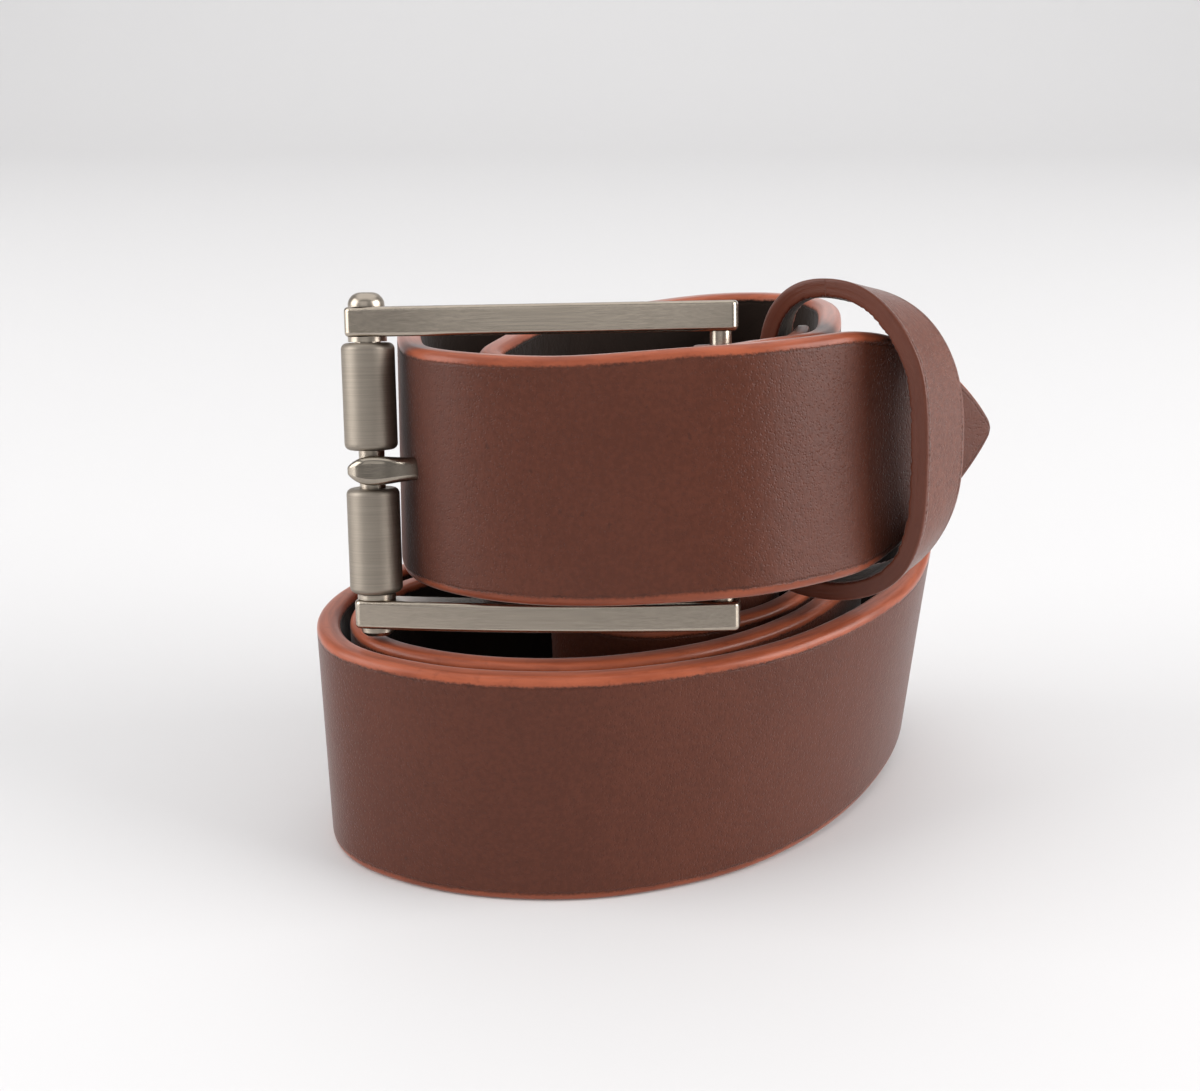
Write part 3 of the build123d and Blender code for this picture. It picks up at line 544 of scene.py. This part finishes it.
# ------------------------------------------------------------------ the strap
def build_strap():
    step = 0.9
    count = int(LENGTH / step)
    stations = list(np.linspace(0.0, LENGTH, count + 1))
    rounding = 0.9
    extra_start = [rounding * 0.35 * k for k in (0.15, 0.4, 0.7)]
    extra_end = [LENGTH - rounding * k for k in (0.03, 0.12, 0.28, 0.5, 0.75)]
    stations = sorted(set(round(float(s), 4) for s in stations + extra_start + extra_end))
    s = np.array(stations)
    here, tangent, width, outward, thick = strap_frame(s)
    verts, uv_strap, uv_section = [], [], []
    ring = None
    for i, l in enumerate(stations):
        t = float(thick[i])
        w = strap_width(l)
        inset = 0.0
        for end, r in ((l, 0.3), (LENGTH - l, rounding)):
            if end < r:
                inset = max(inset, r - math.sqrt(max(0.0, r * r - (r - end) ** 2)))
        pts = section(w, t, 1.15 if t > 3 else 0.62, inset)
        ring = len(pts)
        for a, b in pts:
            v = (here[i] + width[i] * a + outward[i] * b) * 0.001
            v[2] = max(v[2], 0.0)
            verts.append(v)
            uv_strap.append((l * 0.001, a * 0.001))
            uv_section.append((b / (t / 2), min((w / 2 - abs(a)), 5.0) * 0.1))
    faces = []
    n = len(stations)
    for i in range(n - 1):
        for k in range(ring):
            k2 = (k + 1) % ring
            faces.append((i * ring + k, (i + 1) * ring + k, (i + 1) * ring + k2, i * ring + k2))
    # close both ends
    for base, flip in ((0, False), ((n - 1) * ring, True)):
        centre = len(verts)
        verts.append(np.mean([verts[base + k] for k in range(ring)], axis=0))
        uv_strap.append(uv_strap[base])
        uv_section.append((0.0, 0.0 if flip else 0.2))
        for k in range(ring):
            k2 = (k + 1) % ring
            faces.append((centre, base + k2, base + k) if flip else (centre, base + k, base + k2))
    obj = new_object("strap_visible", verts, faces, [strap_mat, cut_mat])
    set_uv(obj.data, "strap", uv_strap)
    set_uv(obj.data, "section", uv_section)
    return obj


def prism(outline, plane_origin, x_dir, y_dir, depth_dir, low, high):
    """Verts and faces of a prism on an outline in a plane."""
    n = len(outline)
    verts = []
    for d in (low, high):
        for x, y in outline:
            verts.append((plane_origin + x_dir * x + y_dir * y + depth_dir * d) * 0.001)
    faces = [tuple(range(n)), tuple(reversed(range(n, 2 * n)))]
    for k in range(n):
        k2 = (k + 1) % n
        faces.append((k2, k, n + k, n + k2))
    return verts, faces


def circle(r, n=40):
    return [(r * math.cos(2 * math.pi * k / n), r * math.sin(2 * math.pi * k / n)) for k in range(n)]


def build_cutters():
    verts, faces = [], []

    def add(v, f):
        base = len(verts)
        verts.extend(v)
        faces.extend(tuple(i + base for i in q) for q in f)

    hole = length_near(PRONG_HOLE_POINT, LENGTH - 150)
    for i in range(5):
        p, t, w, n, _ = [x[0] for x in strap_frame(np.array([hole - i * 25.4]))]
        add(*prism(circle(2.8), p, w, np.cross(n, w), n, -4.0, 4.0))
    # the prong's slot in the fold
    r, half = 2.8, 4.0
    outline = []
    for side in (1, -1):
        for k in range(13):
            a = math.radians(-90 + 180 * k / 12)
            outline.append((side * (half + r * math.cos(a)), side * r * math.sin(a)))
    add(*prism(outline, BAR_CENTRE, BUCKLE_X, BUCKLE_Y, BUCKLE_Z, -6.2, 4.3))
    # stud holes
    fold_end = float(np.interp(knots[FOLD_INDEX + 7], fine, travelled))
    fold_start = float(np.interp(knots[FOLD_INDEX - 1], fine, travelled))
    p, t, w, n, _ = [x[0] for x in strap_frame(np.array([length_near(STUD_POINT, fold_end, fold_end + 60)]))]
    q = p - n * 3.3
    l2 = length_near(tuple(q), 0.0, fold_start)
    p2 = strap_frame(np.array([l2]))[0][0]
    gap = float(np.dot(p - p2, n))
    for dy in (-9.0, 9.0):
        add(*prism(circle(1.63, 24), p - w * dy, w, np.cross(n, w), n, -gap - 1.025 - 1.5, 3.2))
    obj = new_object("cutters", verts, faces, [strap_mat, cut_mat], smooth=False)
    obj.data.polygons.foreach_set("material_index", [1] * len(obj.data.polygons))
    set_uv(obj.data, "strap", [(0.0, 0.0)] * len(verts))
    set_uv(obj.data, "section", [(0.0, 0.3)] * len(verts))
    return obj


strap = build_strap()
apply_boolean(strap, build_cutters())
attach(strap, "strap")
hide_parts("strap")


# ------------------------------------------------------------------ the keeper
def closed_curve(points, count):
    """Periodic cubic through the points, sampled evenly in its parameter."""
    p = np.array(points, float)
    n = len(p)
    chord = np.linalg.norm(np.roll(p, -1, axis=0) - p, axis=1)
    a = np.zeros((n, n))
    rhs = np.zeros((n, 2))
    for i in range(n):
        h0, h1 = chord[i - 1], chord[i]
        a[i, (i - 1) % n] += h1
        a[i, i] += 2 * (h0 + h1)
        a[i, (i + 1) % n] += h0
        d0 = (p[i] - p[i - 1]) / h0
        d1 = (p[(i + 1) % n] - p[i]) / h1
        rhs[i] = 3 * (h1 * d0 + h0 * d1)
    m = np.linalg.solve(a, rhs)
    u = np.arange(count) / count * n
    i = u.astype(int) % n
    f = (u - np.floor(u))[:, None]
    j = (i + 1) % n
    h = chord[i][:, None]
    return (
        (2 * f**3 - 3 * f**2 + 1) * p[i]
        + (f**3 - 2 * f**2 + f) * h * m[i]
        + (-2 * f**3 + 3 * f**2) * p[j]
        + (f**3 - f**2) * h * m[j]
    )


def grown(outline, amount):
    out = []
    for i, (x, y) in enumerate(outline):
        (ax, ay), (bx, by) = outline[i - 1], outline[(i + 1) % len(outline)]
        length = math.hypot(bx - ax, by - ay)
        out.append((x - (by - ay) / length * amount, y + (bx - ax) / length * amount))
    return out


def build_keeper():
    count = 432
    axis = np.array((math.cos(math.radians(KEEPER_ANGLE)), math.sin(math.radians(KEEPER_ANGLE)), 0.0))
    depth = np.array((axis[1], -axis[0], 0.0))
    up = np.array((0.0, 0.0, 1.0))

    def ring3(outline, far):
        c = closed_curve(outline, count)
        return KEEPER_CENTRE + axis * (KEEPER_WIDTH * far) + depth * c[:, :1] + up * c[:, 1:]

    inner_near, inner_far = ring3(KEEPER_NEAR, 0), ring3(KEEPER_FAR, 1)
    outer_near, outer_far = ring3(grown(KEEPER_NEAR, KEEPER_THICKNESS), 0), ring3(grown(KEEPER_FAR, KEEPER_THICKNESS), 1)
    profile = section(KEEPER_WIDTH, KEEPER_THICKNESS, 0.34, 0.0, across=12, corner=4, through=5)
    rng = np.random.default_rng(11)
    ragged = rng.normal(0.0, 1.0, (2, count))
    ragged = (ragged + np.roll(ragged, 1, axis=1) * 0.6) * 0.07
    ring = len(profile)
    verts, uv_strap, uv_section = [], [], []
    length = 0.0
    for i in range(count):
        if i:
            length += float(np.linalg.norm(outer_near[i] - outer_near[i - 1]))
        for a, b in profile:
            f = a / KEEPER_WIDTH + 0.5          # 0 near rim, 1 far rim
            g = b / KEEPER_THICKNESS + 0.5      # 0 inside, 1 outside
            if b < -KEEPER_THICKNESS / 2 + 0.4 and abs(a) > KEEPER_WIDTH / 2 - 0.4:
                g += min(0.16, max(-0.05, ragged[0 if a < 0 else 1][i])) / KEEPER_THICKNESS
            p = (inner_near[i] * (1 - f) + inner_far[i] * f) * (1 - g) + (outer_near[i] * (1 - f) + outer_far[i] * f) * g
            verts.append(p * 0.001)
            uv_strap.append((length * 0.001, a * 0.001))
            uv_section.append((b / (KEEPER_THICKNESS / 2), (KEEPER_WIDTH / 2 - abs(a)) * 0.1))
    faces = []
    for i in range(count):
        i2 = (i + 1) % count
        for k in range(ring):
            k2 = (k + 1) % ring
            faces.append((i * ring + k, i * ring + k2, i2 * ring + k2, i2 * ring + k))
    obj = new_object("keeper_visible", verts, faces, [keeper_mat])
    set_uv(obj.data, "strap", uv_strap)
    set_uv(obj.data, "section", uv_section)
    return obj


keeper = build_keeper()
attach(keeper, "keeper")
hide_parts("keeper_loop")

# ------------------------------------------------------------------ metal
arm_metal = nickel("nickel_arms", BUCKLE_X)
roller_metal = nickel("nickel_rollers", BUCKLE_Y, around=True, base=(0.31, 0.270, 0.224), rough=0.50)
pin_metal = nickel("nickel_pin", BUCKLE_Y, around=True, rough=0.3)
prong_metal = nickel("nickel_prong", BUCKLE_X, base=(0.34, 0.298, 0.247), rough=0.2)
stud_metal = nickel("nickel_studs", BUCKLE_X, rough=0.3)
for name, mat in (
    ("buckle_frame", arm_metal), ("axle_pin", pin_metal), ("spacer_washer_upper", pin_metal),
    ("spacer_washer_lower", pin_metal), ("roller_upper", roller_metal), ("roller_lower", roller_metal),
    ("prong", prong_metal), ("keeper_staple", stud_metal), ("fold_stud_posts", stud_metal), ("fold_stud_caps", stud_metal),
):
    o = nodes[name]
    o.data.materials.clear()
    o.data.materials.append(mat)

# ------------------------------------------------------------------ table, light and camera
def plain(name, color, rough):
    g = Graph(name)
    g.set(Base_Color=color, Roughness=rough, Specular_IOR_Level=0.12)
    return g.mat


def build_table():
    """A pale table that sweeps up behind the belt."""
    prof = [(-3.0, 0.0), (-1.0, 0.0), (0.0, 0.0), (0.6, 0.0), (1.2, 0.0)]
    for k in range(1, 13):
        a = math.radians(90 * k / 12)
        prof.append((1.2 + 0.9 * math.sin(a), 0.9 * (1 - math.cos(a))))
    prof.append((2.1, 4.0))
    verts, faces = [], []
    for x in (-4.0, 4.0):
        for y, z in prof:
            verts.append((x, y, z))
    n = len(prof)
    for k in range(n - 1):
        faces.append((k, n + k, n + k + 1, k + 1))
    obj = new_object("table", verts, faces, [plain("table_white", (0.765, 0.757, 0.757), 0.5)])
    return obj


table = build_table()


def area(name, place, target, size, power, color=(1.0, 1.0, 1.0)):
    light = bpy.data.lights.new(name, "AREA")
    light.shape = "RECTANGLE"
    light.size, light.size_y = size
    light.energy = power
    light.color = color
    obj = bpy.data.objects.new(name, light)
    obj.location = place
    obj.rotation_euler = (Vector(target) - Vector(place)).to_track_quat("-Z", "Y").to_euler()
    bpy.context.scene.collection.objects.link(obj)
    return obj


area("overhead", (0.0, 0.50, 2.0), (0.0, 0.42, 0.0), (3.2, 3.0), 30.0)
area("left_panel", (-1.2, -0.22, 0.50), (0.0, 0.0, 0.05), (1.0, 1.0), 12.5)
area("right_panel", (1.2, -0.25, 0.45), (0.0, 0.0, 0.05), (1.0, 0.9), 18.0)
area("front_panel", (-0.3, -1.5, 0.85), (0.0, 0.0, 0.05), (1.6, 1.2), 3.7)


world = bpy.data.worlds.new("studio")
bpy.context.scene.world = world
world.use_nodes = True
world.node_tree.nodes["Background"].inputs[0].default_value = (0.95, 0.95, 0.965, 1.0)
world.node_tree.nodes["Background"].inputs[1].default_value = 0.31

camera_data = bpy.data.cameras.new("camera")
camera_data.lens = 50.4
camera_data.sensor_width = 36.0
camera_data.sensor_fit = "HORIZONTAL"
camera_data.clip_start = 0.01
camera = bpy.data.objects.new("camera", camera_data)
camera.location = (-0.00802, -0.25378, 0.12352)
camera.rotation_euler = (math.radians(72.0), 0.0, 0.0)
bpy.context.scene.collection.objects.link(camera)
bpy.context.scene.camera = camera

bpy.context.scene.view_settings.view_transform = "Standard"
